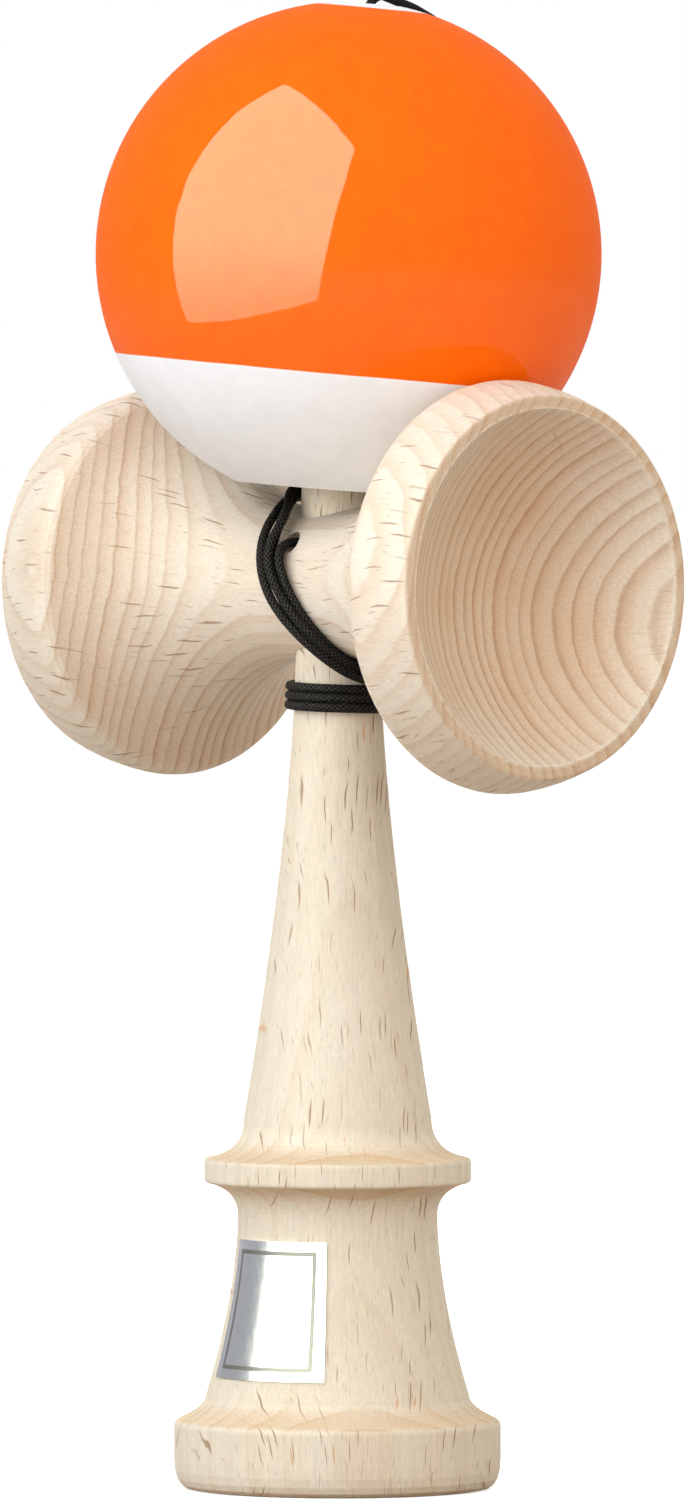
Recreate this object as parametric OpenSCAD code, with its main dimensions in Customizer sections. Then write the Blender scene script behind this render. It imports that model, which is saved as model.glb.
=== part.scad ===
// Kendama: a turned handle with a cross piece of two cups, and a bored ball that sits on the spike.
// A string ties the ball to the handle and is wound round the joint and the neck.
// The handle stands on its foot at the origin, +Z runs up the handle and the cups lie along X.
// All lengths are in millimetres.

/* [Ball] */
// Diameter of the ball
ball_d = 60; // [56:1:64]
// Diameter of the hole that takes the spike
hole_d = 20.4; // [18:0.2:21.6]
// Width of the bevel round the hole's mouth
bevel_w = 1; // [0.5:0.1:2]
// Height of the bevel
bevel_h = 1.2; // [0.6:0.1:2]
// Wood left over the bead's pocket at the ball's top
crown_t = 6.4; // [5:0.1:8]
// Diameter of the hole that the string leaves the ball by
string_hole_d = 3; // [2.2:0.1:4]
// Diameter of the dished rim round that hole
string_dish_d = 8; // [6:0.5:10]
// Depth of the dished rim
string_dish_depth = 2.6; // [1.5:0.1:3]
// Lean of the ball on the spike, in degrees
ball_lean = 4.5; // [0:0.5:6]
// Direction that the ball leans towards, in degrees from +X
ball_lean_az = 47; // [0:1:90]
// Sideways play of the ball on its seat, taken up towards the lean
ball_play = 1.2; // [0.4:0.1:1.5]

/* [Bead] */
// Diameter of the bead
bead_d = 8.6; // [7:0.1:10]
// Height of the bead
bead_h = 6; // [5:0.1:6.6]
// Depth of the pocket that the bead sits in
bead_pocket_depth = 5.5; // [4:0.1:6]
// Diameter of the knot under the bead
bead_knot_d = 3.6; // [3:0.1:4.4]
// Height of the knot under the bead
bead_knot_h = 3.2; // [2.4:0.1:3.6]

/* [Handle] */
// Gap between the spike's tip and the knot in the ball
spike_tip_gap = 3; // [1:0.1:8]
// Height of the cup piece's axis
cup_axis_z = 107.4; // [100:0.2:112]
// Diameter of the body above the slip ring
body_d = 22.3; // [18:0.1:26]
// Diameter of the neck where it enters the cup piece
neck_d = 10.1; // [9.4:0.1:11]
// Diameter of the spike where it leaves the cup piece
spike_d = 8.9; // [7.5:0.1:9.2]
// Diameter of the spike at its rounded tip
spike_tip_d = 5.4; // [4:0.1:7]
// Power of the curve that the body narrows by
body_curve = 1.5; // [1:0.1:2]

/* [Slip ring] */
// Diameter of the slip ring
ring_d = 31.7; // [27:0.1:36]
// Height of the slip ring's underside
ring_z = 36.3; // [32:0.1:42]
// Thickness of the slip ring
ring_t = 3; // [2:0.1:5]
// Height of the flare above the slip ring
ring_flare_h = 4.7; // [3:0.1:7]
// Height of the hollow under the slip ring
ring_under_h = 3.9; // [2.5:0.1:6]

/* [Foot] */
// Diameter of the foot
foot_d = 38.8; // [36:0.2:44]
// Height of the foot's straight side
foot_h = 8; // [6:0.1:11]
// Width of the foot's rounded lower edge
foot_edge_w = 2.1; // [1:0.1:3]
// Width of the flat ring that the handle stands on
rest_w = 1.8; // [1:0.1:3]
// Height of the foot's rounded lower edge
foot_edge_h = 3.6; // [2:0.1:5]
// Width of the slope from the foot to the flank
shoulder_w = 3.8; // [2:0.1:6]
// Diameter of the flank under the slip ring
stem_top_d = 23.7; // [20:0.1:26]
// Height of the slope from the foot to the flank
shoulder_h = 3.2; // [2:0.1:5]
// Power of the curve that the flank spreads by
stem_curve = 1.7; // [1:0.1:2.2]
// Depth of the cup under the foot
base_cup_depth = 7.5; // [5:0.1:9]

/* [Cup piece] */
// Diameter of the waist between the cups
waist_d = 18.2; // [16.4:0.2:20]
// Greatest diameter of the big cup
big_cup_d = 49; // [46:0.2:52]
// Width of the big cup's outer band
big_band_w = 8.4; // [6:0.1:12]
// Fall of the big cup's band to its rim
big_band_fall = 2; // [1:0.1:4]
// Depth of the big cup's bowl
big_bowl_depth = 11.4; // [8:0.1:13]
// Greatest diameter of the small cup
small_cup_d = 46.8; // [43:0.2:49]
// Width of the small cup's outer band
small_band_w = 9; // [6:0.1:12]
// Fall of the small cup's band to its rim
small_band_fall = 1.8; // [1:0.1:4]
// Depth of the small cup's bowl
small_bowl_depth = 10.6; // [8:0.1:13]
// Width of the flat face of both rims
rim_w = 1.5; // [1:0.1:2.5]
// Radius of the curve across each cup's outer band
band_r = 28; // [20:1:60]
// Length of rounding at the edge behind each band
lip_round = 1.9; // [0.4:0.1:2.5]
// Radius of the hollow curve that leaves the waist
waist_fillet_r = 20; // [14:1:22]
// Gap between the waist and the mouth of the ball, where the spike shows
foot_gap = 2.1; // [1.6:0.1:2.9]

/* [String] */
// Diameter of the string
string_d = 1.1; // [0.9:0.05:1.2]
// Turns of the string round the neck
coil_turns = 3; // [1:1:4]
// Full loops of the string across the joint
cross_loops = 2; // [1:1:2]
// Diameter of the hole that the string leaves the cup piece by
cord_hole_d = 2.4; // [2:0.1:3]
// Height of that hole above the cup piece's axis
cord_hole_rise = 5; // [4:0.1:5.6]
// Diameter of the knot in the handle
ken_knot_d = 3.6; // [3:0.1:4]
// Length of the knot in the handle
ken_knot_l = 2.6; // [2:0.1:3]

/* [Label] */
// Width of the label, measured round the flank
label_w = 15; // [8:0.5:20]
// Gap between the label and the lower end of the flank
label_low_gap = 2.3; // [0:0.1:6]
// Gap between the label and the upper end of the flank
label_high_gap = 2.6; // [0:0.1:6]
// Direction that the label faces, in degrees from +X
label_az = -82; // [-180:1:180]
// Thickness of the label
label_t = 0.2; // [0.1:0.05:0.5]

/* [Fits] */
// Clearance of the handle's taper in the cup piece's bore
bore_clear = 0.08; // [0.02:0.01:0.2]
// Gap between the ball and its seat on the cup piece
seat_gap = 0.3; // [0.1:0.05:0.6]
// Gap between the string and the wood that it lies on
lie_gap = 0.35; // [0.3:0.05:0.6]
// Gap between neighbouring turns of the string
turn_gap = 0.46; // [0.44:0.02:0.8]
// Clearance of the bead in its pocket
bead_clear = 0.4; // [0.2:0.05:0.8]
// Clearance of a knot in its seat
knot_clear = 0.3; // [0.1:0.05:0.5]
// Gap between two faces that bear on each other
face_gap = 0.05; // [0.02:0.01:0.1]

/* [Hidden] */
$fn = 96;

// Length that every cut runs past the surface it opens
overrun = 1;

// Number of steps in a long curve, in a short curve and in a rounded edge
long_steps = 16;
short_steps = 9;
edge_steps = 5;

// Radii of the ball and its hole
ball_r = ball_d / 2;
mouth_r = hole_d / 2 + bevel_w;
mouth_z = -sqrt(pow(ball_r, 2) - pow(mouth_r, 2));
pocket_d = bead_d + 2 * bead_clear;
pocket_end_z = ball_r - crown_t;
hole_end_z = pocket_end_z - bead_pocket_depth;
dish_z = sqrt(pow(ball_r, 2) - pow(string_dish_d / 2, 2));
string_r = string_d / 2;

// Height of the ball's centre above the cup piece's axis, and its place on the handle
waist_r = waist_d / 2;
ball_rise = waist_r + foot_gap - mouth_z;
ball_at = [ball_play * cos(ball_lean_az), ball_play * sin(ball_lean_az), cup_axis_z + ball_rise];
lean_axis = [-sin(ball_lean_az), cos(ball_lean_az), 0];

// Bead and knot, measured from the ball's centre along its own axis
bead_top_z = pocket_end_z - knot_clear;
bead_low_z = bead_top_z - bead_h;
bead_bore_d = string_d + 2 * knot_clear;
bead_flat_share = 0.62;
bead_flat_d = bead_d * bead_flat_share;
bead_knot_top_z = bead_low_z - face_gap;
bead_knot_low_z = bead_knot_top_z - bead_knot_h;

// Overall height of the handle, whose spike ends short of the knot
ken_h = ball_at[2] + bead_knot_low_z - spike_tip_gap;

// The string's bend over the ball's top, two string diameters round
bend_r = 2 * string_d;
lie = lie_gap + string_r;
bend_top_z = ball_r + lie;

// Heights where the handle's taper enters and leaves the cup piece
neck_z = cup_axis_z - waist_r;
spike_z = cup_axis_z + waist_r;
taper = (neck_d - spike_d) / (spike_z - neck_z) / 2;

// Heights of the handle's turned bands
rest_r = foot_d / 2 - foot_edge_w;
base_cup_r = rest_r - rest_w;
stem_low_d = foot_d - 2 * shoulder_w;
stem_low_z = foot_h + shoulder_h;
stem_top_z = ring_z - ring_under_h;
ring_top_z = ring_z + ring_t;
body_low_z = ring_top_z + ring_flare_h;
foot_round = 0.6;
ring_round = 0.6;
shoulder_share = 0.55;
under_share = 0.25;
flare_share = 0.19;

// Seat of the ball on the cup piece: a hollow turned round the ball's centre
seat_r = ball_r + seat_gap + ball_play * cos(ball_lean_az);
fillet_t = sqrt(pow(seat_r - waist_fillet_r, 2) - pow(ball_rise - waist_r - waist_fillet_r, 2));
fillet_turn = atan2(fillet_t, ball_rise - waist_r - waist_fillet_r);
rim_edge = 0.4;

// The string's hole through the cup piece and the handle, and the seat of its knot
cord_hole_z = cup_axis_z + cord_hole_rise;
knot_seat_d = ken_knot_d + 2 * knot_clear;
knot_face_y = neck_d / 2 - taper * (cord_hole_z - neck_z) - ken_knot_l - knot_clear;

// The string's winding: pitch of its turns, reach of the loops across the joint and their shift
pitch = string_d + turn_gap;
slant_share = 1.24;
loop_pitch = pitch * slant_share;
lap = waist_r + lie;
loop_lift = (cross_loops - 0.5) * loop_pitch / 2;
loop_h = lap + loop_lift;
loop_w = lap + pitch / 2;
loop_low_x = neck_d / 2 + lie;
loop_high_x = spike_d / 2 + lie;
cross_shift = 1.5;
cross_bow = 3;
cross_spread_share = 1.06;
cross_start = -88;
coil_top_z = cup_axis_z - lap - cross_loops * loop_pitch;
coil_start = 360 * cross_loops;
coil_end_az = 60;
coil_end = coil_start + 360 * coil_turns + coil_end_az;
loop_rings = 24;
wrap_sides = 6;
riser_sides = 8;

// Route of the string from the neck up behind the ball to its top, between the ends that it meets
riser_route = [
    [0.8, 6.9, 89.4], [-0.3, 7.7, 90.2], [-1, 8.5, 91.8], [-1.2, 9.2, 94], [-1.2, 10, 97],
    [-1, 11.2, 100.5], [-0.6, 12.3, 104], [-0.2, 13.6, 107.5], [0, 15.5, 111], [0, 18, 115],
    [0, 20.6, 119], [0.1, 23.2, 123], [0.2, 25.8, 127], [0.3, 28.3, 131.5], [0.4, 30.2, 136.5],
    [0.5, 31.5, 142], [0.6, 31.7, 148], [0.8, 30.9, 154], [1, 28.8, 160], [1.2, 25.4, 165.4],
    [1.5, 20.8, 170], [1.8, 15.8, 173.5], [2.1, 10.8, 175.7], [2.3, 7.4, 176.6]];
route_steps = 2;

// Points of a quadratic curve from a to c that heads for p
function bend(a, p, c, n) = [for (i = [0:n]) let (s = i / n)
    (1 - s) * (1 - s) * a + 2 * s * (1 - s) * p + s * s * c];

// Point b turned about the ball's lean and moved to the ball's place
function in_ball(b) = let (k = lean_axis, c = cos(ball_lean), s = sin(ball_lean))
    ball_at + b * c + cross(k, b) * s + k * (k * b) * (1 - c);

// Radius of the handle's flank above the foot, and of its body above the slip ring
function stem_r(z) = stem_top_d / 2 + (stem_low_d - stem_top_d) / 2
    * pow((stem_top_z - z) / (stem_top_z - stem_low_z), stem_curve);
function body_r(z) = neck_d / 2 + (body_d - neck_d) / 2
    * pow(max(0, neck_z - z) / (neck_z - body_low_z), body_curve);

// Radius of the sphere that a bowl of this rim and depth belongs to
function bowl_r(rim, depth) = (rim * rim + depth * depth) / (2 * depth);

// Half outline of a bowl from its rim to its middle, as radius and height
function bowl(rim, depth, n) = let (r = bowl_r(rim, depth), turn = atan2(rim, r - depth))
    [for (i = [0:n]) let (a = turn * (1 - i / n)) [r * sin(a), r - depth - r * cos(a)]];

// Outline of the handle, as radius and height
function ken_outline() = let (
    cup = bowl(base_cup_r, base_cup_depth, short_steps),
    foot_r = foot_d / 2, ring_r = ring_d / 2, tip_r = spike_tip_d / 2)
    concat(
        [for (i = [0:short_steps]) let (p = cup[short_steps - i]) [p[0], -p[1]]],
        bend([rest_r, 0], [foot_r, 0], [foot_r, foot_edge_h], edge_steps),
        bend([foot_r, foot_h - foot_round], [foot_r, foot_h],
             [foot_r - foot_round, foot_h + foot_round / 2], edge_steps),
        bend([foot_r - foot_round, foot_h + foot_round / 2],
             [stem_low_d / 2, foot_h + shoulder_h * shoulder_share],
             [stem_low_d / 2, stem_low_z], short_steps),
        [for (i = [1:long_steps]) let (z = stem_low_z + (stem_top_z - stem_low_z) * i / long_steps)
            [stem_r(z), z]],
        bend([stem_top_d / 2, stem_top_z], [stem_top_d / 2, ring_z - ring_under_h * under_share],
             [ring_r - ring_round, ring_z], short_steps),
        bend([ring_r - ring_round, ring_z], [ring_r, ring_z],
             [ring_r, ring_z + ring_round], edge_steps),
        bend([ring_r, ring_top_z - ring_round], [ring_r, ring_top_z],
             [ring_r - ring_round, ring_top_z], edge_steps),
        bend([ring_r - ring_round, ring_top_z], [body_d / 2, ring_top_z + ring_flare_h * flare_share],
             [body_d / 2, body_low_z], short_steps),
        [for (i = [1:long_steps]) let (z = body_low_z + (neck_z - body_low_z) * i / long_steps)
            [body_r(z), z]],
        [[spike_d / 2, spike_z]],
        bend([tip_r, ken_h - tip_r], [tip_r, ken_h], [0, ken_h], short_steps));

// Outline of one end of the cup piece from its waist to the middle of its bowl, as radius and reach
function cup_outline(cup_d, band_w, band_fall, depth) = let (
    lip = [cup_d / 2, sqrt(pow(seat_r, 2) - pow(ball_rise - cup_d / 2, 2))],
    lip_turn = atan2(lip[1], ball_rise - lip[0]),
    flank_end = lip_turn - lip_round / seat_r * 180 / PI,
    rim = lip + [-band_fall, band_w],
    chord = rim - lip,
    span = norm(chord),
    inward = [-chord[1], chord[0]] / span,
    hub = (lip + rim) / 2 + inward * sqrt(pow(band_r, 2) - pow(span / 2, 2)),
    lip_angle = atan2(lip[1] - hub[1], lip[0] - hub[0]),
    rim_angle = atan2(rim[1] - hub[1], rim[0] - hub[0]),
    band_start = lip_angle + lip_round / band_r * 180 / PI,
    band_end = rim_angle - rim_edge / band_r * 180 / PI,
    flank = [for (i = [1:long_steps]) let (a = fillet_turn + (flank_end - fillet_turn) * i / long_steps)
        [ball_rise - seat_r * cos(a), seat_r * sin(a)]],
    band = [for (i = [0:short_steps]) let (a = band_start + (band_end - band_start) * i / short_steps)
        hub + band_r * [cos(a), sin(a)]])
    concat(
        [for (i = [0:short_steps]) let (a = fillet_turn * i / short_steps)
            [waist_r + waist_fillet_r * (1 - cos(a)), fillet_t + waist_fillet_r * sin(a)]],
        flank,
        bend(flank[long_steps - 1], lip, band[0], edge_steps),
        band,
        bend(band[short_steps], rim, rim - [rim_edge, 0], edge_steps),
        [for (p = bowl(rim[0] - rim_w, depth, long_steps)) [p[0], rim[1] + p[1]]]);

// Points without those that repeat the one before
function distinct(p) = [for (i = [0:len(p) - 1]) if (i == 0 || norm(p[i] - p[max(0, i - 1)]) > 0) p[i]];

// Place of the string on its winding at a turn counted in degrees round the handle
function loop_at(a) = let (c = cos(a), s = sin(a), spread = loop_pitch * cross_spread_share)
    [(loop_low_x + loop_high_x) / 2 * c + (loop_low_x - loop_high_x) / 2 * c * c
        + (cross_shift - spread * a / 360) * s * s + cross_bow * (c * c - pow(c, 4)),
     loop_w * s,
     cup_axis_z + loop_lift - loop_pitch * a / 360 - loop_h * c];
function coil_at(a) = let (z = coil_top_z - pitch * (a - coil_start) / 360, r = body_r(z - string_r) + lie)
    [r * cos(a), r * sin(a), z];

// Route of the winding: straight out of the handle, down across the joint, round it and round the neck
cord_out_y = -sqrt(pow(waist_r, 2) - pow(cord_hole_rise, 2));
cord_bend_a = [0, cord_out_y + string_r, cord_hole_z];
cord_bend_c = loop_at(cross_start);
cord_bend_p = [cord_bend_c[0] / 4, -loop_w, cord_hole_z];
coil_last = coil_at(coil_end);
coil_way = unit(coil_last - coil_at(coil_end - 1));
wrap_end = coil_last + coil_way * string_d;
wrap_route = concat(
    [[0, knot_face_y, cord_hole_z]],
    bend(cord_bend_a, cord_bend_p, cord_bend_c, short_steps),
    [for (a = [cross_start + 360 / loop_rings : 360 / loop_rings : coil_start]) loop_at(a)],
    [for (a = [coil_start + 360 / loop_rings : 360 / loop_rings : coil_end]) coil_at(a)],
    [wrap_end]);

// Ends of the stretch behind the ball: the winding's end and the end of the bend on the ball's top
riser_end = in_ball([0, bend_r, bend_top_z]);
riser_end_way = in_ball([0, bend_r - string_d, bend_top_z]) - riser_end;

// Smooth curve through points, with steps between each two
function unit(v) = v / norm(v);
function smooth(p, n) = let (last = len(p) - 1) concat(
    [for (i = [0:last - 1], j = [0:n - 1]) let (
        s = j / n, a = p[max(0, i - 1)], b = p[i], c = p[i + 1], d = p[min(last, i + 2)])
        ((2 * b) + (c - a) * s + (2 * a - 5 * b + 4 * c - d) * s * s
            + (3 * b - 3 * c + d - a) * s * s * s) / 2],
    [p[last]]);

// Directions along a route, with those of its two ends given
function ways(p, first, final) = [for (i = [0:len(p) - 1])
    i == 0 ? unit(first) : i == len(p) - 1 ? unit(final) : unit(p[i + 1] - p[i - 1])];

// A side direction carried along the route without twist
function sides_of(w) = let (s0 = unit(cross(w[0], abs(w[0][2]) < 0.9 ? [0, 0, 1] : [1, 0, 0])))
    [for (i = 0, s = s0; i < len(w); i = i + 1,
          s = i < len(w) ? unit(s - w[i] * (s * w[i])) : s) s];

// Tube of a given radius and number of sides along a route
module tube(route, first, final, r, sides) {
    w = ways(route, first, final);
    u = sides_of(w);
    rings = len(route);
    points = [for (i = [0:rings - 1]) let (v = cross(w[i], u[i])) for (k = [0:sides - 1])
        let (a = 360 * k / sides) route[i] + r * (u[i] * cos(a) + v * sin(a))];
    walls = [for (i = [0:rings - 2], k = [0:sides - 1]) let (
        a = i * sides + k, b = i * sides + (k + 1) % sides, c = b + sides, d = a + sides)
        each [[a, d, b], [b, d, c]]];
    start = [for (k = [1:sides - 2]) [0, k, k + 1]];
    end = [for (k = [1:sides - 2]) let (o = (rings - 1) * sides) [o, o + k + 1, o + k]];
    polyhedron(points, concat(walls, start, end));
}

// Distance from point q to the stretch from a to b
function stretch_gap(q, a, b) = let (d = b - a, t = min(1, max(0, (q - a) * d / (d * d))))
    norm(q - a - t * d);

// Least gap between a tube's surface and itself, over rings too far apart to be neighbours
function self_gap(p, apart) = min([for (i = [0:len(p) - 1], j = [i + apart:1:len(p) - 2])
    stretch_gap(p[i], p[j], p[j + 1])]) - string_d;
echo(least_gap_of_the_winding_to_itself = self_gap(wrap_route, 4));

// Everything inside is placed on the leaning ball
module on_ball() {
    translate(ball_at) rotate(a = ball_lean, v = lean_axis) children();
}

module ken() {
    color("wheat") difference() {
        rotate_extrude() polygon(distinct(ken_outline()));
        translate([0, knot_face_y + knot_clear, cord_hole_z]) rotate([90, 0, 0])
            cylinder(h = neck_d, d = cord_hole_d);
        translate([0, knot_face_y, cord_hole_z]) rotate([-90, 0, 0])
            cylinder(h = neck_d, d = knot_seat_d);
    }
}

module sarado() {
    big = cup_outline(big_cup_d, big_band_w, big_band_fall, big_bowl_depth);
    small = cup_outline(small_cup_d, small_band_w, small_band_fall, small_bowl_depth);
    last = len(small) - 1;
    outline = concat([for (i = [0:last]) [small[last - i][0], -small[last - i][1]]], big);
    color("blanchedalmond") difference() {
        translate([0, 0, cup_axis_z]) rotate([0, 90, 0])
            rotate_extrude() polygon(distinct(outline));
        translate([0, 0, neck_z - overrun])
            cylinder(h = waist_d + 2 * overrun,
                     r1 = neck_d / 2 + taper * overrun + bore_clear,
                     r2 = spike_d / 2 - taper * overrun + bore_clear);
        translate([0, 0, cord_hole_z]) rotate([90, 0, 0])
            cylinder(h = waist_r + overrun, d = cord_hole_d);
    }
}

module tama() {
    bevel_grow = bevel_w / bevel_h * overrun;
    color("darkorange") on_ball() difference() {
        sphere(d = ball_d);
        translate([0, 0, mouth_z - ball_r]) cylinder(h = ball_r + hole_end_z - mouth_z, d = hole_d);
        translate([0, 0, mouth_z - overrun])
            cylinder(h = bevel_h + overrun, r1 = mouth_r + bevel_grow, r2 = hole_d / 2);
        translate([0, 0, hole_end_z - overrun])
            cylinder(h = bead_pocket_depth + overrun, d = pocket_d);
        cylinder(h = ball_d, d = string_hole_d);
        translate([0, 0, dish_z - string_dish_depth])
            cylinder(h = string_dish_depth, d1 = string_hole_d, d2 = string_dish_d);
        translate([0, 0, dish_z]) cylinder(h = overrun, d = string_dish_d);
    }
}

module bead() {
    half = bead_h / 2;
    color("burlywood") on_ball() translate([0, 0, bead_low_z]) difference() {
        rotate_extrude() polygon(distinct(concat(
            [[0, 0]],
            bend([bead_flat_d / 2, 0], [bead_d / 2, 0], [bead_d / 2, half], short_steps),
            bend([bead_d / 2, half], [bead_d / 2, bead_h], [bead_flat_d / 2, bead_h], short_steps),
            [[0, bead_h]])));
        translate([0, 0, -overrun]) cylinder(h = bead_h + 2 * overrun, d = bead_bore_d);
    }
}

// A pulled-tight knot: a short barrel with rounded ends
module knot(d, h) {
    round_h = h / 3;
    rotate_extrude() polygon(concat(
        [[0, 0]],
        bend([d / 3, 0], [d / 2, 0], [d / 2, round_h], edge_steps),
        bend([d / 2, h - round_h], [d / 2, h], [d / 3, h], edge_steps),
        [[0, h]]));
}

module bead_knot() {
    color("black") on_ball() translate([0, 0, bead_knot_low_z]) knot(bead_knot_d, bead_knot_h);
}

module ken_knot() {
    color("black") translate([0, knot_face_y + face_gap, cord_hole_z]) rotate([-90, 0, 0])
        knot(ken_knot_d, ken_knot_l);
}

module label() {
    low = stem_low_z + label_low_gap;
    high = stem_top_z - label_high_gap;
    span = label_w / (2 * PI * stem_r((low + high) / 2)) * 360;
    heights = [for (i = [0:long_steps]) low + (high - low) * i / long_steps];
    outline = concat(
        [for (z = heights) [stem_r(z) + face_gap, z]],
        [for (i = [0:long_steps]) let (z = heights[long_steps - i]) [stem_r(z) + face_gap + label_t, z]]);
    color("silver") rotate([0, 0, label_az - span / 2]) rotate_extrude(angle = span) polygon(outline);
}

module string_wrap() {
    color("black") tube(wrap_route, [0, -string_d, 0], coil_way, string_r, wrap_sides);
}

module string_riser() {
    route = smooth(concat([wrap_end], riser_route, [riser_end]), route_steps);
    color("black") tube(route, coil_way, riser_end_way, string_r, riser_sides);
}

module string_tail() {
    color("black") on_ball() {
        translate([0, 0, bead_knot_top_z])
            cylinder(h = bend_top_z - bend_r - bead_knot_top_z, d = string_d);
        translate([0, bend_r, bend_top_z - bend_r]) rotate([90, 0, -90])
            rotate_extrude(angle = 90) translate([bend_r, 0]) circle(d = string_d);
    }
}

ken();
sarado();
tama();
bead();
bead_knot();
ken_knot();
label();
string_wrap();
string_riser();
string_tail();
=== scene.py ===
import math

import bpy
import numpy as np
from mathutils import Matrix, Vector


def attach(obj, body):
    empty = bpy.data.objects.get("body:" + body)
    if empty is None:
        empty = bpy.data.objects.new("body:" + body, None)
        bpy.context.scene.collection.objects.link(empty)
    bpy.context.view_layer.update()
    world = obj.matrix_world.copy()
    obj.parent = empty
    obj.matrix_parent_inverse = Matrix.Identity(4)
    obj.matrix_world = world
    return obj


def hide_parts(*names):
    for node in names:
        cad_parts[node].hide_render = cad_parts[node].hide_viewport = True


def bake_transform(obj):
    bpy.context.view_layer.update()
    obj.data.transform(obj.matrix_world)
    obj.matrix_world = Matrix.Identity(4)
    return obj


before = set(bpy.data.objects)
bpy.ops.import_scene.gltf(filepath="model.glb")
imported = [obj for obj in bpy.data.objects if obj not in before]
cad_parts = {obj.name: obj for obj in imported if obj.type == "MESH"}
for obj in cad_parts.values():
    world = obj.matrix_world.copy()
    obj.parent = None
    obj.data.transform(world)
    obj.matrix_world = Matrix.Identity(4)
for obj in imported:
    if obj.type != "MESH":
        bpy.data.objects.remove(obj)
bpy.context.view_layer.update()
scene = bpy.context.scene
scene.view_settings.view_transform = "Standard"

MM = 0.001

# Sizes of the part, in millimetres
BALL_R = 30.0
BALL_AT = np.array([0.818, 0.878, 146.431])
BALL_LEAN = math.radians(4.5)
BALL_LEAN_AZ = math.radians(47.0)
CUP_AXIS_Z = 107.4
CUP_REACH = 35.91
CUP_MOUTH_R = 21.0
BOWL_R = 25.0
BOWL_HUB = 49.55
WAIST_R = 9.1
NECK_R = 5.05
SPIKE_R = 4.45
BODY_R = 11.15
BODY_LOW_Z = 44.0
NECK_Z = CUP_AXIS_Z - WAIST_R
STRING_HOLE_Z = CUP_AXIS_Z + 5.0
STRING_D = 1.1
STRING_R = STRING_D / 2
BEAD_Z = 166.0
LABEL_AZ = math.radians(-82.0)
LABEL_R = 13.0
LABEL_Z = 21.65

# The paint on the ball: its own lean, the heights of its two edges, their softness, and its depth
PAINT_LEAN = math.radians(5.2)
BAND_H = -14.1
CAP_H = 29.26
PAINT_EDGE = 0.06
PAINT_DEPTH = 0.35

# The frame line on the label: half its width and height, and its thickness
LINE_HALF_W = 6.2
LINE_HALF_H = 7.0
LINE_THICK = 0.5

# The braid: pairs of yarns round the string, and the run of one crossing
YARNS = 6
BRAID_PITCH = 0.62


# Shader helpers: each adds nodes to a tree and gives back what they work out
class Field:
    """A value that a node works out. Plain arithmetic on it adds Math nodes to its tree."""

    def __init__(self, socket):
        self.socket = socket
        self.tree = socket.node.id_data

    def math(self, operation, *others):
        made = new_node(self.tree, "ShaderNodeMath", operation=operation)
        for socket, value in zip(made.inputs, (self, *others)):
            put(socket, value)
        return Field(made.outputs[0])

    def __add__(self, other):
        return self.math("ADD", other)

    def __sub__(self, other):
        return self.math("SUBTRACT", other)

    def __mul__(self, other):
        return self.math("MULTIPLY", other)

    def __truediv__(self, other):
        return self.math("DIVIDE", other)

    def __pow__(self, other):
        return self.math("POWER", other)

    def __abs__(self):
        return self.math("ABSOLUTE")


def put(socket, value):
    """Links a field to a socket, or sets a plain value on it."""
    if isinstance(value, Field):
        socket.node.id_data.links.new(value.socket, socket)
    else:
        socket.default_value = value


def put_all(made, inputs):
    for name, value in inputs.items():
        put(made.inputs[name], value)


def new_node(tree, kind, inputs=None, **settings):
    made = tree.nodes.new(kind)
    for name, value in settings.items():
        setattr(made, name, value)
    put_all(made, inputs or {})
    return made


def tree_of(*values):
    return next(value.tree for value in values if isinstance(value, Field))


def vector_math(operation, a, b, output="Vector"):
    made = new_node(a.tree, "ShaderNodeVectorMath", {0: a}, operation=operation)
    if b is not None:
        put(made.inputs[1], b)
    return Field(made.outputs[output])


def minus(vector, offset):
    return vector_math("SUBTRACT", vector, offset)


def scaled(vector, factors):
    return vector_math("MULTIPLY", vector, factors)


def length(vector):
    return vector_math("LENGTH", vector, None, "Value")


def parts(vector):
    made = new_node(vector.tree, "ShaderNodeSeparateXYZ", {"Vector": vector})
    return [Field(socket) for socket in made.outputs]


def joined(x, y, z):
    made = new_node(tree_of(x, y, z), "ShaderNodeCombineXYZ", {"X": x, "Y": y, "Z": z})
    return Field(made.outputs[0])


def step(x, low, high, at_low=0.0, at_high=1.0):
    """Smooth step of a field from one value to another."""
    made = new_node(x.tree, "ShaderNodeMapRange", interpolation_type="SMOOTHSTEP")
    put_all(made, {"Value": x, "From Min": low, "From Max": high, "To Min": at_low, "To Max": at_high})
    return Field(made.outputs[0])


def inverse(x):
    return x * -1.0 + 1.0


def mixed(amount, a, b, how="MIX"):
    made = new_node(tree_of(amount, a, b), "ShaderNodeMix", data_type="RGBA", blend_type=how)
    put_all(made, {"Factor": amount, "A": a, "B": b})
    return Field(made.outputs["Result"])


def tinted(colour, tint):
    return mixed(1.0, colour, tint, "MULTIPLY")


def noise(vector, scale=1.0, detail=2.0, roughness=0.5, output="Fac"):
    settings = {"Vector": vector, "Scale": scale, "Detail": detail, "Roughness": roughness}
    return Field(new_node(vector.tree, "ShaderNodeTexNoise", settings).outputs[output])


def bump(height, strength, distance):
    settings = {"Height": height, "Strength": strength, "Distance": distance}
    return Field(new_node(height.tree, "ShaderNodeBump", settings).outputs[0])


def coordinate(tree, name):
    return Field(tree.nodes.new("ShaderNodeTexCoord").outputs[name])


def millimetres(tree):
    """Place of a point in the frame, in millimetres."""
    return scaled(coordinate(tree, "Object"), (1 / MM, 1 / MM, 1 / MM))


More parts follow.
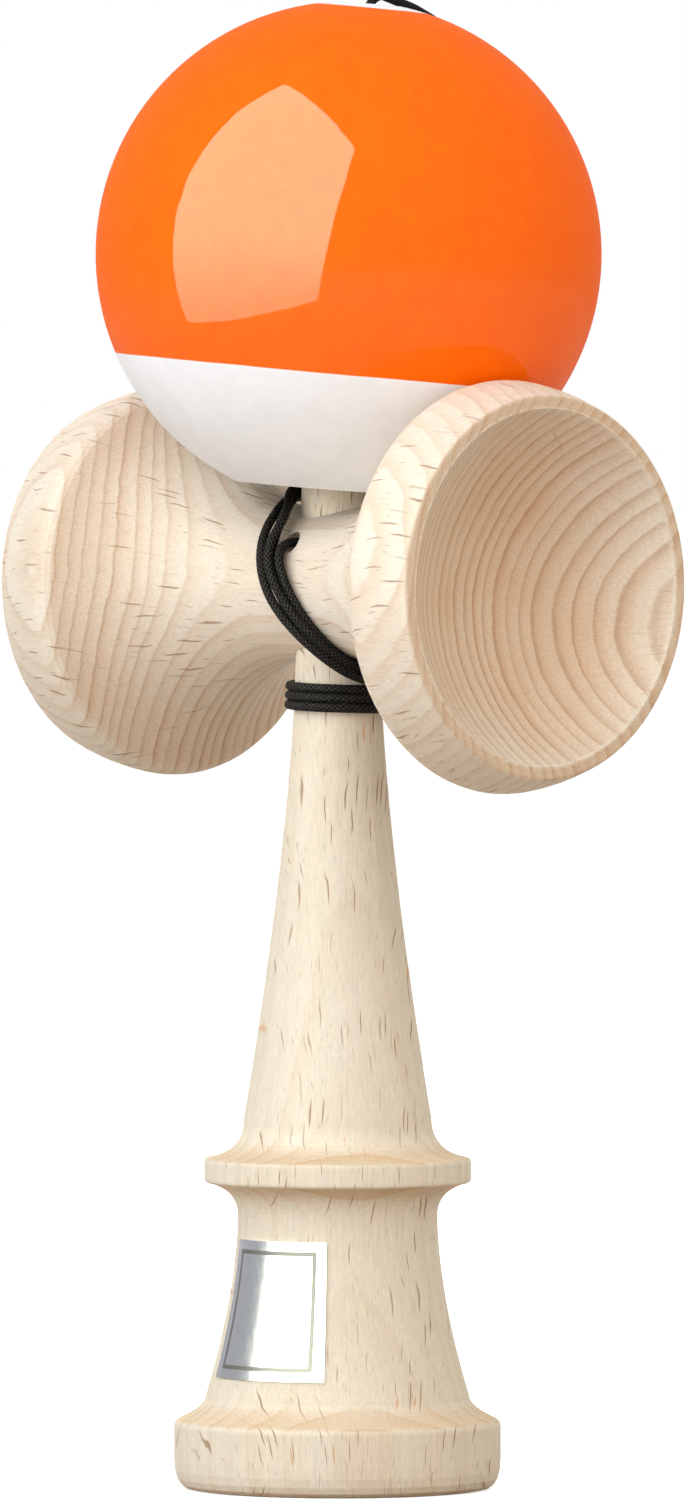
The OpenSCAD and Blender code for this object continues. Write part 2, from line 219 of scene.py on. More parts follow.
def rgb(*levels):
    """Linear colour from 8-bit sRGB levels."""
    shares = [level / 255 for level in levels]
    linear = [s / 12.92 if s <= 0.04045 else ((s + 0.055) / 1.055) ** 2.4 for s in shares]
    return (*linear, 1.0)


def material(name):
    made = bpy.data.materials.new(name)
    made.use_nodes = True
    tree = made.node_tree
    tree.nodes.clear()
    output = tree.nodes.new("ShaderNodeOutputMaterial")
    shader = tree.nodes.new("ShaderNodeBsdfPrincipled")
    tree.links.new(shader.outputs[0], output.inputs["Surface"])
    return made, shader


# Beech
WARM_STREAK = rgb(205, 150, 96)
END_TINT = (0.9, 0.79, 0.69, 1)
# Warm tint for the painted shade inside the cups' bowls
BOWL_SHADE_TINT = (1.0, 0.86, 0.74, 1)


class Grain:
    """A point in the wood: across and along the grain, in millimetres, and as seen from the pith."""

    def __init__(self, tree, along, centre, pith, wander):
        place = parts(minus(millimetres(tree), centre))
        normal = parts(coordinate(tree, "Normal"))
        if along == "X":
            place = place[1:] + place[:1]
            normal = normal[1:] + normal[:1]
        self.across_u, self.across_v, self.along = place
        self.point = joined(*place)
        slow = self.swing((0.05, 0.05, 0.016), wander)
        fine = self.swing((0.45, 0.45, 0.08), wander * 0.22)
        self.pith_u = self.across_u - pith[0] + slow[0] + fine[0]
        self.pith_v = self.across_v - pith[1] + slow[1] + fine[1]
        self.pith_r = (self.pith_u * self.pith_u + self.pith_v * self.pith_v).math("SQRT")
        self.end = abs(normal[2]) ** 1.4
        self.facing = abs((normal[0] * self.pith_u + normal[1] * self.pith_v) / self.pith_r)
        self.wobble = noise(scaled(self.point, (0.3, 0.3, 0.3)))
        lean = noise(scaled(self.point, (0.02, 0.02, 0.05)), detail=1.0)
        angle = self.pith_v.math("ARCTAN2", self.pith_u)
        self.around = angle * math.hypot(*pith) + lean * 7.0 + self.wobble * 0.6

    def swing(self, stretch, amount):
        """Wandering of the rings, by up to half the amount each way."""
        colour = noise(scaled(self.point, stretch), output="Color")
        return parts(scaled(minus(colour, (0.5, 0.5, 0.5)), (amount, amount, amount)))


def growth_rings(grain, rate, growth):
    """Late wood, the thin line that ends a ring, and a random number for each ring."""
    uneven = noise(joined(grain.pith_r * 0.22, 0.0, 0.0), detail=1.0)
    count = grain.pith_r * (grain.pith_r * growth + rate) + uneven * 1.3
    share = count.math("FRACT")
    late = step(share, 0.2, 0.86) * step(share, 0.87, 1.0, 1.0, 0.0)
    line = step(share, 0.66, 0.9) * step(share, 0.9, 1.0, 1.0, 0.0)
    ring = {"W": count.math("FLOOR")}
    lot = new_node(grain.point.tree, "ShaderNodeTexWhiteNoise", ring, noise_dimensions="1D")
    return late, line, Field(lot.outputs["Value"])


def lens_marks(grain, width, height, small, large, seen):
    """Lens-shaped marks along the grain, one to a cell, each of a random size and strength."""
    cell = {"Vector": joined(grain.around / width, grain.along / height, 0.0), "Scale": 1.0}
    cells = new_node(grain.point.tree, "ShaderNodeTexVoronoi", cell, voronoi_dimensions="2D", feature="F1")
    strength, size, _ = parts(Field(cells.outputs["Color"]))
    share = Field(cells.outputs["Distance"]) / (size * (large - small) + small)
    return step(share, 0.45, 1.0, 1.0, 0.0) * step(strength, *seen)


def ray_flecks(grain, width, strength):
    """Wood rays: thin sheets along the grain that point at the pith, seen where they meet the surface."""
    large = lens_marks(grain, 0.7, 12.0, 0.09, width, (0.1, 0.8))
    small = lens_marks(grain, 0.45, 4.5, 0.08, 0.17, (0.45, 1.0)) * 0.6
    return large.math("MAXIMUM", small) * strength * step(grain.facing, 0.02, 0.28)


def cup_zones(grain):
    """The cups' bowls, their sanded rims, and a painted highlight along the edge between the two."""
    reach = abs(grain.along)
    from_hub = length(joined(grain.across_u, grain.across_v, reach - BOWL_HUB))
    bowl = step(from_hub, BOWL_R + 0.2, BOWL_R + 0.5, 1.0, 0.0)
    rim = step(reach, CUP_REACH - 0.4, CUP_REACH - 0.1) * inverse(bowl)
    from_mouth = abs(length(joined(grain.across_u, grain.across_v, 0.0)) - CUP_MOUTH_R)
    # Painted highlight: a pale line where the rim meets the bowl, broken up by noise
    edge = step(from_mouth, 0.1, 0.42, 1.0, 0.0) * step(reach, CUP_REACH - 1.0, CUP_REACH - 0.4)
    return bowl, rim, edge * step(noise(grain.point, 1.6), 0.35, 0.6, 0.15, 0.7)


def beech(
    name, along, centre, pith, wander, rings, rays, streaks, side_rings, lines, colours, cups=False,
):
    """Sanded beech: growth rings about a pith line, ray flecks along the grain, fine fibres.

    Rings are their number to the millimetre and how it grows outwards, rays the width and strength
    of the flecks, lines the strength of the ring lines on the sides and on the end grain. Colours
    are those of pale wood, late wood, ring lines and flecks.
    """
    made, shader = material(name)
    pale, late, line, fleck = colours
    grain = Grain(made.node_tree, along, centre, pith, wander)
    late_wood, ring_line, lot = growth_rings(grain, *rings)
    ray = ray_flecks(grain, *rays)
    streak = lens_marks(grain, 3.4, 26.0, 0.05, 0.085, (0.45, 0.6))
    fibre = noise(scaled(grain.point, (3.2, 3.2, 0.11)), detail=3.0, roughness=0.6)
    pore = noise(scaled(grain.point, (7.0, 7.0, 0.9)), roughness=0.6)
    cloud = noise(scaled(grain.point, (0.07, 0.07, 0.025)))
    if cups:
        bowl, rim, edge = cup_zones(grain)
        ray = ray * step(bowl, 0.0, 1.0, 1.0, 0.4)
        ring_line = ring_line * step(rim, 0.0, 1.0, 1.0, 0.3)

    # Rings and their lines, stronger on the end grain
    ring_mix = late_wood * (lot * 0.6 + 0.4) * step(grain.end, 0.0, 1.0, side_rings, 1.0)
    colour = mixed(ring_mix, pale, late)
    colour = mixed(step(cloud, 0.3, 0.75, 0.0, 0.3), colour, late)
    line_mix = ring_line * step(grain.end, 0.05, 0.7, *lines) * (lot * 0.5 + 0.5)
    line_mix = line_mix * step(grain.wobble, 0.3, 0.62, 0.55, 1.0)
    colour = mixed(line_mix, colour, line)

    # Warm streaks and flecks, weaker on the end grain, which is darker
    colour = mixed(streak * step(grain.end, 0.1, 0.5, streaks, 0.0), colour, WARM_STREAK)
    colour = mixed(ray * step(grain.end, 0.45, 0.9, 0.85, 0.12), colour, fleck)
    colour = mixed(step(grain.end, 0.3, 0.95), colour, tinted(colour, END_TINT))
    if cups:
        # Painted shade: warmer, darker cloudy patches inside the bowls
        colour = mixed(bowl * step(cloud, 0.42, 0.66, 0.0, 0.3), colour, tinted(colour, BOWL_SHADE_TINT))
        # Painted highlight along the edge between rim and bowl, in the pale wood colour
        colour = mixed(edge, colour, pale)

    # Fibres and pores
    dip = step(grain.end, 0.1, 0.9, 0.05, 0.1)
    shade = step(fibre, 0.2, 0.8, 0.93, 1.05) * step(pore, 0.25, 0.75, inverse(dip), dip + 1.0)
    height = fibre * 0.5 - ray * 0.6 - line_mix * 0.4 + pore * 0.35
    put_all(shader, {
        "Base Color": tinted(colour, joined(shade, shade, shade)),
        "Roughness": step(fibre, 0.2, 0.8, 0.52, 0.66),
        "Specular IOR Level": 0.05,
        "Normal": bump(height, 0.35, 0.00012),
    })
    return made


ken_wood = beech(
    "ken_beech", along="Z", centre=(0, 0, 0), pith=(70.0, -46.0), wander=2.4,
    rings=(0.16, 0.0012), rays=(0.21, 1.0), streaks=0.75, side_rings=0.35, lines=(0.04, 0.25),
    colours=(rgb(219, 212, 197), rgb(211, 195, 171), rgb(190, 158, 124), rgb(148, 114, 82)))
sarado_wood = beech(
    "sarado_beech", along="X", centre=(0, 0, CUP_AXIS_Z), pith=(36.0, -7.0), wander=2.0,
    rings=(0.22, 0.0048), rays=(0.16, 0.9), streaks=0.0, side_rings=0.65, lines=(0.08, 0.4),
    colours=(rgb(223, 216, 203), rgb(210, 188, 165), rgb(158, 119, 88), rgb(142, 108, 77)), cups=True)
bead_wood = beech(
    "bead_beech", along="Z", centre=(1.9, 2.0, BEAD_Z), pith=(9.0, 4.0), wander=1.0,
    rings=(0.3, 0.01), rays=(0.14, 0.6), streaks=0.0, side_rings=0.8, lines=(0.3, 0.6),
    colours=(rgb(226, 196, 152), rgb(196, 156, 108), rgb(150, 108, 66), rgb(120, 84, 52)))


def ball_paint():
    """Gloss lacquer: orange with white below and a white cap, bare wood inside the holes."""
    made, shader = material("tama_lacquer")
    place = minus(millimetres(made.node_tree), tuple(BALL_AT))
    axis = (
        math.sin(PAINT_LEAN) * math.cos(BALL_LEAN_AZ),
        math.sin(PAINT_LEAN) * math.sin(BALL_LEAN_AZ),
        math.cos(PAINT_LEAN))
    up = vector_math("DOT_PRODUCT", place, axis, "Value") + noise(place, 0.09) * 0.24 - 0.12
    band = step(up, BAND_H - PAINT_EDGE, BAND_H + PAINT_EDGE, 1.0, 0.0)
    white = band.math("MAXIMUM", step(up, CAP_H - PAINT_EDGE, CAP_H + PAINT_EDGE))
    cloud = step(noise(place, 0.35, 3.0, 0.6), 0.3, 0.7)
    orange = mixed(cloud, (0.97, 0.137, 0.0006, 1), (0.97, 0.15, 0.0008, 1))
    pale = mixed(cloud, rgb(239, 243, 249), rgb(243, 247, 253))
    edge = BALL_R - PAINT_DEPTH
    inside = step(length(place), edge - 0.1, edge + 0.1, 1.0, 0.0)
    grain = noise(scaled(place, (2.5, 2.5, 0.12)), detail=3.0, roughness=0.6)
    wood = mixed(grain, rgb(214, 182, 140), rgb(236, 212, 178))
    put_all(shader, {
        "Base Color": mixed(inside, mixed(white, orange, pale), wood),
        "Roughness": step(inside, 0.0, 1.0, 0.14, 0.62),
        "Specular IOR Level": 0.0,
        "Coat Weight": step(inside, 0.0, 1.0, 0.09, 0.0),
        "Coat Roughness": 0.035,
        "Coat IOR": 2.0,
        "Normal": bump(grain * inside, 0.2, 0.0002),
        "Coat Normal": bump(noise(place, 0.55, roughness=0.4), 0.02, 0.0004),
    })
    return made


def braid_string():
    """Fine black braid: two sets of yarns that cross, along the string's own length and girth."""
    made, shader = material("string_braid")
    run, girth, _ = parts(Field(new_node(made.node_tree, "ShaderNodeUVMap", uv_map="run").outputs[0]))
    turn = girth * (YARNS * 2 * math.pi)
    forward = run * (2 * math.pi / BRAID_PITCH)
    ridge = (turn + forward).math("SINE").math("MAXIMUM", (turn - forward).math("SINE"))
    fuzz = noise(joined(run * 6.0, girth * 30.0, 0.0))
    # Painted highlight: lighter grey on the raised yarn crossings, standing in for glints on the black
    # braid
    painted_glint = step(ridge + fuzz * 1.2 - 0.6, 0.55, 1.15)
    put_all(shader, {
        "Base Color": mixed(painted_glint, rgb(4, 4, 4), rgb(64, 62, 62)),
        "Roughness": step(fuzz, 0.2, 0.8, 0.42, 0.6),
        "Specular IOR Level": 0.02,
        "Normal": bump(ridge, 0.8, 0.00008),
    })
    return made


def foil():
    """Silver foil label with a plain dark frame line."""
    made, shader = material("label_foil")
    place = millimetres(made.node_tree)
    x, y, z = parts(place)
    turn = y.math("ARCTAN2", x)
    across = abs((turn - LABEL_AZ) * LABEL_R)
    outside = (across - LINE_HALF_W).math("MAXIMUM", abs(z - LABEL_Z) - LINE_HALF_H)
    line = step(outside, -LINE_THICK, 0.08 - LINE_THICK) * step(outside, 0.0, 0.08, 1.0, 0.0)
    scratch = noise(joined(turn * 240.0, z * 0.6, 0.0), detail=3.0)
    silver = mixed(scratch, rgb(138, 140, 146), rgb(160, 162, 168))
    put_all(shader, {
        "Base Color": mixed(line, silver, rgb(40, 41, 44)),
        "Metallic": inverse(line),
        "Roughness": step(scratch, 0.2, 0.8, 0.16, 0.26) + line * 0.2,
        "Normal": bump(noise(place, 0.22), 0.25, 0.0003),
    })
    return made


braid = braid_string()
node_materials = {
    "ken": ken_wood, "sarado": sarado_wood, "tama": ball_paint(), "bead": bead_wood, "label": foil(),
}
for name, made in node_materials.items():
    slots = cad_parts[name].data.materials
    slots.clear()
    slots.append(made)

# The string's winding, in millimetres: gaps, the bundle over the joint and the turns at the neck
LIE = STRING_R + 0.03
PITCH = STRING_D + 0.02
LANES = 2
LOOPS = 3
LAYER = 1.0
TURNS = 3
LAP = WAIST_R + LIE
LIFT = (LANES - 0.5) * PITCH / 2
LOOP_H = LAP + LIFT
LOOP_W = LAP + 0.5
LOW_X = NECK_R + LIE + 0.05
HIGH_X = SPIKE_R + LIE
CROSS_START = -94
COIL_START = 360 * LOOPS
COIL_END = COIL_START + 360 * TURNS + 60
COIL_TOP_Z = CUP_AXIS_Z - LAP - (LANES - 0.5) * PITCH
RING = 12

# The strands where they show: how they spread, shift, fan out and bow
SPREAD = 1.08
SHIFT = 0.97
FAN_LEFT = 2.8
FAN_RIGHT = 9.0
BOW = 3.0
PULL = 5.0

# The string's way out of the ball's crown: its bend, its gap to the paint and its lower end
BEND_R = 2 * STRING_D
BEND_TOP = BALL_R + 0.35 + STRING_R
PAINT_GAP = 0.07
CROWN_GAP = 0.08
TAIL_LOW = 14.6

# The string's way up behind the ball, first as a step from the last turn, then as places
RISER_LEAVE = np.array([-1.3, 0.9, 0.15])
RISER_ROUTE = (
    (0.2, 7.0, 92.9), (-0.7, 7.9, 93.9), (-1.1, 8.9, 95.7), (-1.1, 10.0, 98.2),
    (-1, 11.2, 101), (-0.6, 12.3, 104), (-0.2, 13.6, 107.5), (0, 15.5, 111), (0, 18, 115),
    (0, 20.6, 119), (0.1, 23.2, 123), (0.2, 25.8, 127), (0.3, 28.3, 131.5), (0.4, 30.2, 136.5),
    (0.5, 31.5, 142), (0.6, 31.7, 148), (0.8, 30.9, 154), (1, 28.8, 160), (1.2, 25.4, 165.4),
    (1.5, 20.8, 170), (1.8, 15.8, 173.5), (2.1, 10.8, 175.7), (2.3, 7.4, 176.6))

# The tubes: the gap between their rings, in millimetres, and their sides
TUBE_GAP = 0.4
TAIL_GAP = 0.3
TUBE_SIDES = 14

# The knots: width, lengths and places in millimetres, and how thin the string is pulled in them
KNOT_W = 3.5
KEN_KNOT_LONG = 2.6
KEN_KNOT_Y = 3.05
BEAD_KNOT_LONG = 3.2
BEAD_KNOT_H = 15.65
KNOT_TIGHT = 0.8
KNOT_SIDES = 10
KNOT_POINTS = 60


def ease(x, low, high):
    w = min(1.0, max(0.0, (x - low) / (high - low)))
    return w * w * (3 - 2 * w)


def body_r(z):
    """Radius of the handle under the joint."""
    return NECK_R + (BODY_R - NECK_R) * (max(0.0, NECK_Z - z) / (NECK_Z - BODY_LOW_Z)) ** 1.5


def on_ball(point):
    """Point measured from the ball's centre along its leaning axis, in the frame."""
    hinge = np.array([-math.sin(BALL_LEAN_AZ), math.cos(BALL_LEAN_AZ), 0.0])
    point = np.array(point, float)
    c, s = math.cos(BALL_LEAN), math.sin(BALL_LEAN)
    return BALL_AT + point * c + np.cross(hinge, point) * s + hinge * (hinge @ point) * (1 - c)


def drawn_onto_ball(point):
    """Point of the taut string moved in until it lies on the ball, where it passes close over it."""
    out = point - BALL_AT
    far = np.linalg.norm(out)
    near = BALL_R + LIE + PAINT_GAP + CROWN_GAP * ease(out[2], BALL_R - 1.5, BALL_R + 0.3)
    return BALL_AT + out * near / far if far < BALL_R + 1.0 else point


def place_in_bundle(turns):
    """Lane and layer of a strand: the second loop climbs over the first behind the joint."""
    lane = turns - 1.5 * ease(turns, 1.18, 1.5)
    layer = ease(turns, 1.1, 1.3) + ease(turns, 2.05, 2.2) * (1 - ease(turns, 2.45, 2.6))
    return lane, layer


def loop_at(degrees):
    """Point of the loops that cross the joint, low on one side and high on the other."""
    c, s = math.cos(math.radians(degrees)), math.sin(math.radians(degrees))
    lane, layer = place_in_bundle(degrees / 360)
    above = max(0.0, -c)
    arch = c * c - c**4
    x = (LOW_X + HIGH_X) / 2 * c + (LOW_X - HIGH_X) / 2 * c * c
    x += (SHIFT - SPREAD * lane) * s**4 + (BOW + PULL * above) * arch
    x -= (FAN_LEFT if lane > 0.5 else FAN_RIGHT) * (lane - 0.5) * 4 * arch * above * max(0.0, -s)
    out = LAYER * layer
    return np.array([x + out * c, (LOOP_W + out) * s, CUP_AXIS_Z + LIFT - PITCH * lane - LOOP_H * c])


def coil_at(degrees):
    """Point of the turns round the neck; the first comes in from the bundle's upper layer."""
    c, s = math.cos(math.radians(degrees)), math.sin(math.radians(degrees))
    turns = (degrees - COIL_START) / 360
    z = COIL_TOP_Z - PITCH * turns
    r = body_r(z - STRING_R) + LIE + LAYER * (1 - ease(turns, 0.0, 0.4))
    return np.array([r * c, r * s, z])


def bend(start, corner, end, count):
    """Points of a curve that leaves the start towards the corner and comes to the end from it."""
    start, corner, end = (np.array(point, float) for point in (start, corner, end))
    shares = np.linspace(0, 1, count)
    return [(1 - s) ** 2 * start + 2 * s * (1 - s) * corner + s * s * end for s in shares]


def run_along(path):
    return np.concatenate([[0], np.cumsum(np.linalg.norm(np.diff(path, axis=0), axis=1))])


def smooth(points, gap):
    """Even points along a smooth curve through the given ones."""
    points = np.array(points, float)
    beyond = np.vstack([2 * points[0] - points[1], points, 2 * points[-1] - points[-2]])
    path = []
    for a, b, c, d in zip(beyond, beyond[1:], beyond[2:], beyond[3:]):
        for s in np.linspace(0, 1, 12, endpoint=False):
            square = (2 * a - 5 * b + 4 * c - d) * s**2
            cube = (3 * b - 3 * c + d - a) * s**3
            path.append(0.5 * (2 * b + (c - a) * s + square + cube))
    path = np.array(path + [points[-1]])
    run = run_along(path)
    even = np.linspace(0, run[-1], max(2, int(round(run[-1] / gap)) + 1))
    return np.stack([np.interp(even, run, path[:, k]) for k in range(3)], 1)


def tube(name, path, radius, sides, first_run=0.0):
    """Closed mesh tube along a dense path in millimetres, with its run and girth kept as UVs."""
    way = np.gradient(path, axis=0)
    way /= np.linalg.norm(way, axis=1)[:, None]
    side = np.cross(way[0], [0, 0, 1.0] if abs(way[0][2]) < 0.9 else [1.0, 0, 0])
    angles = [2 * math.pi * k / sides for k in range(sides)]
    verts = []
    for at, ahead in zip(path, way):
        side = side - ahead * (side @ ahead)
        side /= np.linalg.norm(side)
        other = np.cross(ahead, side)
        verts += [tuple((at + radius * (side * math.cos(a) + other * math.sin(a))) * MM) for a in angles]

    run = first_run + run_along(path)
    last = len(path) - 1
    faces, uvs = [], []
    for i in range(last):
        here, there = i * sides, (i + 1) * sides
        for k in range(sides):
            j = (k + 1) % sides
            faces.append((here + k, here + j, there + j, there + k))
            low, high = k / sides, (k + 1) / sides
            uvs += [(run[i], low), (run[i], high), (run[i + 1], high), (run[i + 1], low)]
    faces.append(tuple(reversed(range(sides))))
    faces.append(tuple(last * sides + k for k in range(sides)))
    uvs += [(run[0], 0.0)] * sides + [(run[-1], 0.0)] * sides

    mesh = bpy.data.meshes.new(name)
    mesh.from_pydata(verts, [], faces)
    for loop, uv in zip(mesh.uv_layers.new(name="run").data, uvs):
        loop.uv = uv
    mesh.shade_smooth()
    mesh.materials.append(braid)
    piece = bpy.data.objects.new(name, mesh)
    bpy.context.collection.objects.link(piece)
    return piece, run[-1] - first_run


def knot(name, middle, axis, across, along):
    """An overhand knot pulled tight: the string crosses itself three times in a small ball."""
    radius = STRING_R * KNOT_TIGHT
    t = np.linspace(0, 2 * math.pi, KNOT_POINTS)
    path = np.stack([np.sin(t) + 2 * np.sin(2 * t), np.cos(t) - 2 * np.cos(2 * t), -np.sin(3 * t)], 1)
    path[:, :2] *= (across / 2 - radius) / 3
    path[:, 2] *= along / 2 - radius
    turn = Vector((0, 0, 1)).rotation_difference(Vector(axis))
    path = np.array([np.array(turn @ Vector(point)) + middle for point in path])
    return tube(name, path, radius, KNOT_SIDES)[0]


# The winding: out of the hole in the cup piece's side, over the joint, then round the neck
cord_out = -math.sqrt(WAIST_R**2 - (STRING_HOLE_Z - CUP_AXIS_Z) ** 2)
wrap_points = [np.array([0, y, STRING_HOLE_Z]) for y in (1.7, 0.0, -2.0, -4.0, -5.6)]
wrap_points += bend(
    (0, cord_out + 0.9, STRING_HOLE_Z), (0, -LOOP_W - 0.2, STRING_HOLE_Z), loop_at(CROSS_START), 7)
wrap_points += [loop_at(a) for a in np.arange(CROSS_START + 10, COIL_START + 1, RING)]
wrap_points += [coil_at(a) for a in np.arange(COIL_START + RING, COIL_END + 1, RING)]
wrap_path = smooth(wrap_points, TUBE_GAP)
wrap, wrap_run = tube("string_winding", wrap_path, STRING_R, TUBE_SIDES)
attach(wrap, "handle")
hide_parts("string_wrap")

# The riser: from the last turn up behind the ball, stretched by the lift between joint and ball
riser_points = [wrap_path[-1], coil_at(COIL_END) + RISER_LEAVE]
riser_points += [drawn_onto_ball(np.array(point)) for point in RISER_ROUTE]
riser_points.append(on_ball((0, BEND_R, BEND_TOP)))
riser_path = smooth(riser_points, TUBE_GAP)
riser, riser_run = tube("string_behind_ball", riser_path, STRING_R, TUBE_SIDES, wrap_run)
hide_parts("string_riser")
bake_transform(riser)

# The tail: over the crown's edge and down to the bead
tail_points = [on_ball((0, 0, z)) for z in np.arange(TAIL_LOW, BEND_TOP - BEND_R, 1.0)]
tail_points += [
    on_ball((0, BEND_R - BEND_R * math.cos(a), BEND_TOP - BEND_R + BEND_R * math.sin(a)))
    for a in np.linspace(0, math.pi / 2, 7)]
tail_path = smooth(tail_points, TAIL_GAP)
tail, _ = tube("string_in_ball", tail_path, STRING_R, TUBE_SIDES, wrap_run + riser_run)
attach(tail, "ball_core")
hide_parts("string_tail")

# The knots at the string's two ends
ken_knot_at = np.array([0, KEN_KNOT_Y, STRING_HOLE_Z])
ken_knot = knot("knot_in_handle", ken_knot_at, (0, 1, 0), KNOT_W, KEN_KNOT_LONG)
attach(ken_knot, "handle")
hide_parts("ken_knot")
ball_axis = on_ball((0, 0, 1)) - BALL_AT
bead_knot_at = on_ball((0, 0, BEAD_KNOT_H))
bead_knot = knot("knot_under_bead", bead_knot_at, tuple(ball_axis), KNOT_W, BEAD_KNOT_LONG)
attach(bead_knot, "ball_core")
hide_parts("bead_knot")

wrap_run * MM
riser_run * MM

# The camera's place and angle, in metres and radians, and the photograph's frame
CAM_D = 2.0
CAM_AZ = math.radians(47.142)
CAM_Z = 0.14383
CAM_YAW = 0.000293
CAM_PITCH = -0.02807
CAM_ROLL = 0.000856
FOCAL_PX = 16867.7
FRAME_H_PX = 1500
SENSOR = 36.0
AWAY = np.array([-math.sin(CAM_AZ), math.cos(CAM_AZ), 0.0])
RIGHT = np.array([math.cos(CAM_AZ), math.sin(CAM_AZ), 0.0])
UP = np.array([0.0, 0.0, 1.0])


def standing(x_axis, y_axis, z_axis, place):
    """Matrix of an object with these axes at this place."""
    rows = np.stack([x_axis, y_axis, z_axis, place], 1).tolist()
    return Matrix([*rows, [0.0, 0.0, 0.0, 1.0]])


def photo_camera():
    """The photograph's camera, nearly level and well away from the toy."""
    ahead = math.cos(CAM_PITCH) * (math.cos(CAM_YAW) * AWAY + math.sin(CAM_YAW) * RIGHT)
    ahead = ahead + math.sin(CAM_PITCH) * UP
    level = math.cos(CAM_YAW) * RIGHT - math.sin(CAM_YAW) * AWAY
    right = math.cos(CAM_ROLL) * level + math.sin(CAM_ROLL) * np.cross(level, ahead)
    data = bpy.data.cameras.new("camera")
    data.sensor_width = SENSOR
    data.lens = FOCAL_PX / FRAME_H_PX * SENSOR
    data.clip_start = 0.05
    data.clip_end = 50.0
    camera = bpy.data.objects.new("camera", data)
    camera.matrix_world = standing(right, np.cross(right, ahead), -ahead, CAM_Z * UP - CAM_D * AWAY)
    bpy.context.collection.objects.link(camera)
    return camera


scene.camera = photo_camera()


# Light: soft boxes round the object, and white surroundings for the rays that show them
def shows_surroundings(tree):
    """One for camera, transmission and glossy rays, and nought for the rays that light the object."""
    path = tree.nodes.new("ShaderNodeLightPath")
    names = ("Is Camera Ray", "Is Transmission Ray", "Is Glossy Ray")
    camera, through, glossy = (Field(path.outputs[name]) for name in names)
    return camera.math("MAXIMUM", through).math("MAXIMUM", glossy)


def studio_world():
    """White where it is seen, a soft warm light otherwise."""
    made = bpy.data.worlds.new("studio")
    made.use_nodes = True
    tree = made.node_tree
    tree.nodes.clear()
    soft = new_node(tree, "ShaderNodeBackground", {"Color": (1.0, 0.93, 0.84, 1), "Strength": 0.12})
    white = new_node(tree, "ShaderNodeBackground", {"Color": (1, 1, 1, 1), "Strength": 1.0})
    either = {0: shows_surroundings(tree), 1: Field(soft.outputs[0]), 2: Field(white.outputs[0])}
    mixer = new_node(tree, "ShaderNodeMixShader", either)
    new_node(tree, "ShaderNodeOutputWorld", {"Surface": Field(mixer.outputs[0])})
    return made


def soft_box(name, az, el, half, distance, colour, radiance, roll=0.0, shift=(0.0, 0.0), fade=0.0):
    """A large rectangular lamp that faces the ball, with its middle shifted in its own plane.

    The angles, in degrees, are to the right of the camera and above it. The half size and the
    shift are shares of the distance. The lamp's lower edge is weaker by the fade.
    """
    az, el = math.radians(az), math.radians(el)
    out = math.cos(el) * (math.sin(az) * RIGHT - math.cos(az) * AWAY) + math.sin(el) * UP
    across = np.cross(UP, out)
    across /= np.linalg.norm(across)
    tall = np.cross(out, across)
    x_axis = math.cos(roll) * across + math.sin(roll) * tall
    y_axis = math.cos(roll) * tall - math.sin(roll) * across
    data = bpy.data.lights.new(name, "AREA")
    data.shape = "RECTANGLE"
    data.size, data.size_y = 2 * half[0] * distance, 2 * half[1] * distance
    data.color = colour
    data.energy = radiance * math.pi * data.size * data.size_y
    data.use_nodes = True
    tree = data.node_tree
    _, up, _ = parts(Field(tree.nodes.new("ShaderNodeNewGeometry").outputs["Parametric"]))
    emission = next(made for made in tree.nodes if made.type == "EMISSION")
    put(emission.inputs["Strength"], step(up, 0.0, 0.35, 1.0 - fade, 1.0))
    lamp = bpy.data.objects.new(name, data)
    place = BALL_AT * MM + distance * (out + shift[0] * x_axis + shift[1] * y_axis)
    lamp.matrix_world = standing(x_axis, y_axis, out, place)
    lamp.visible_camera = False
    bpy.context.collection.objects.link(lamp)
    return lamp


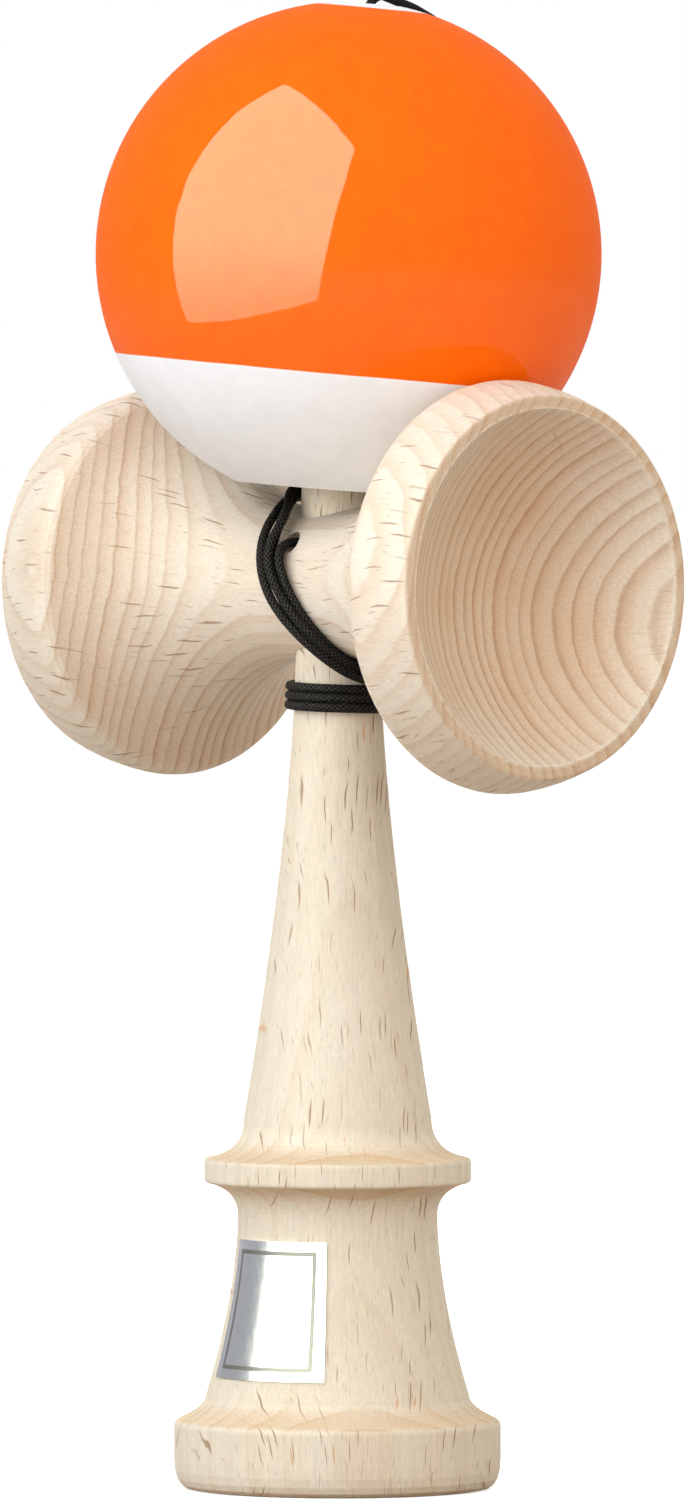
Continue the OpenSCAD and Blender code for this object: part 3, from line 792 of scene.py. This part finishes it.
scene.world = studio_world()
KEY_AIM = {"az": -61.62, "el": 12.63, "roll": -0.0685}
WARM = (1.0, 0.93, 0.84)
lights = [
    soft_box(
        "key", **KEY_AIM, shift=(0.427, 0.429), half=(0.873, 1.214), distance=0.7,
        colour=(0.985, 1.0, 1.03), radiance=2.31),
    soft_box("fill", az=60, el=10, half=(0.85, 1.2), distance=0.8, colour=WARM, radiance=1.32),
    soft_box("back", az=170, el=25, half=(0.9, 0.9), distance=0.9, colour=(1.0, 0.97, 0.93), radiance=0.95),
    soft_box(
        "low", az=-10, el=0, shift=(0.0, -0.28), half=(0.5, 0.15), distance=0.45,
        colour=(1.0, 0.96, 0.9), radiance=1.7),
]
for lamp in lights:
    lamp.visible_glossy = False
    lamp.data.cycles.use_multiple_importance_sampling = False

# The key's reflection is a lamp of its own, nearer and brighter, which lights nothing
shine = soft_box(
    "shine", **KEY_AIM, shift=(0.471, 0.414), half=(0.844, 1.181), distance=0.22,
    colour=(1.0, 1.0, 0.76), radiance=28.0, fade=0.5)
shine.visible_diffuse = False


# Floor: pale, with the object's shadow, and white further out
FLOOR_HALF = 6
FLOOR_NEAR = 0.06
FLOOR_FAR = 0.5


def floor_material():
    made = bpy.data.materials.new("floor_pale")
    made.use_nodes = True
    tree = made.node_tree
    tree.nodes.clear()
    seen = shows_surroundings(tree)
    colour = mixed(seen, (0.45, 0.365, 0.285, 1), (0.86, 0.86, 0.86, 1))
    glow = seen * step(length(coordinate(tree, "Object")), FLOOR_NEAR, FLOOR_FAR, 0.62, 1.0)
    diffuse = new_node(tree, "ShaderNodeBsdfDiffuse", {"Color": colour})
    emission = new_node(tree, "ShaderNodeEmission", {"Color": (1, 1, 1, 1), "Strength": glow})
    shaders = {0: Field(diffuse.outputs[0]), 1: Field(emission.outputs[0])}
    both = new_node(tree, "ShaderNodeAddShader", shaders)
    new_node(tree, "ShaderNodeOutputMaterial", {"Surface": Field(both.outputs[0])})
    return made


floor_mesh = bpy.data.meshes.new("floor")
corners = [(x * FLOOR_HALF, y * FLOOR_HALF, 0) for x, y in ((-1, -1), (1, -1), (1, 1), (-1, 1))]
floor_mesh.from_pydata(corners, [], [(0, 1, 2, 3)])
floor_mesh.materials.append(floor_material())
floor = bpy.data.objects.new("floor", floor_mesh)
bpy.context.collection.objects.link(floor)
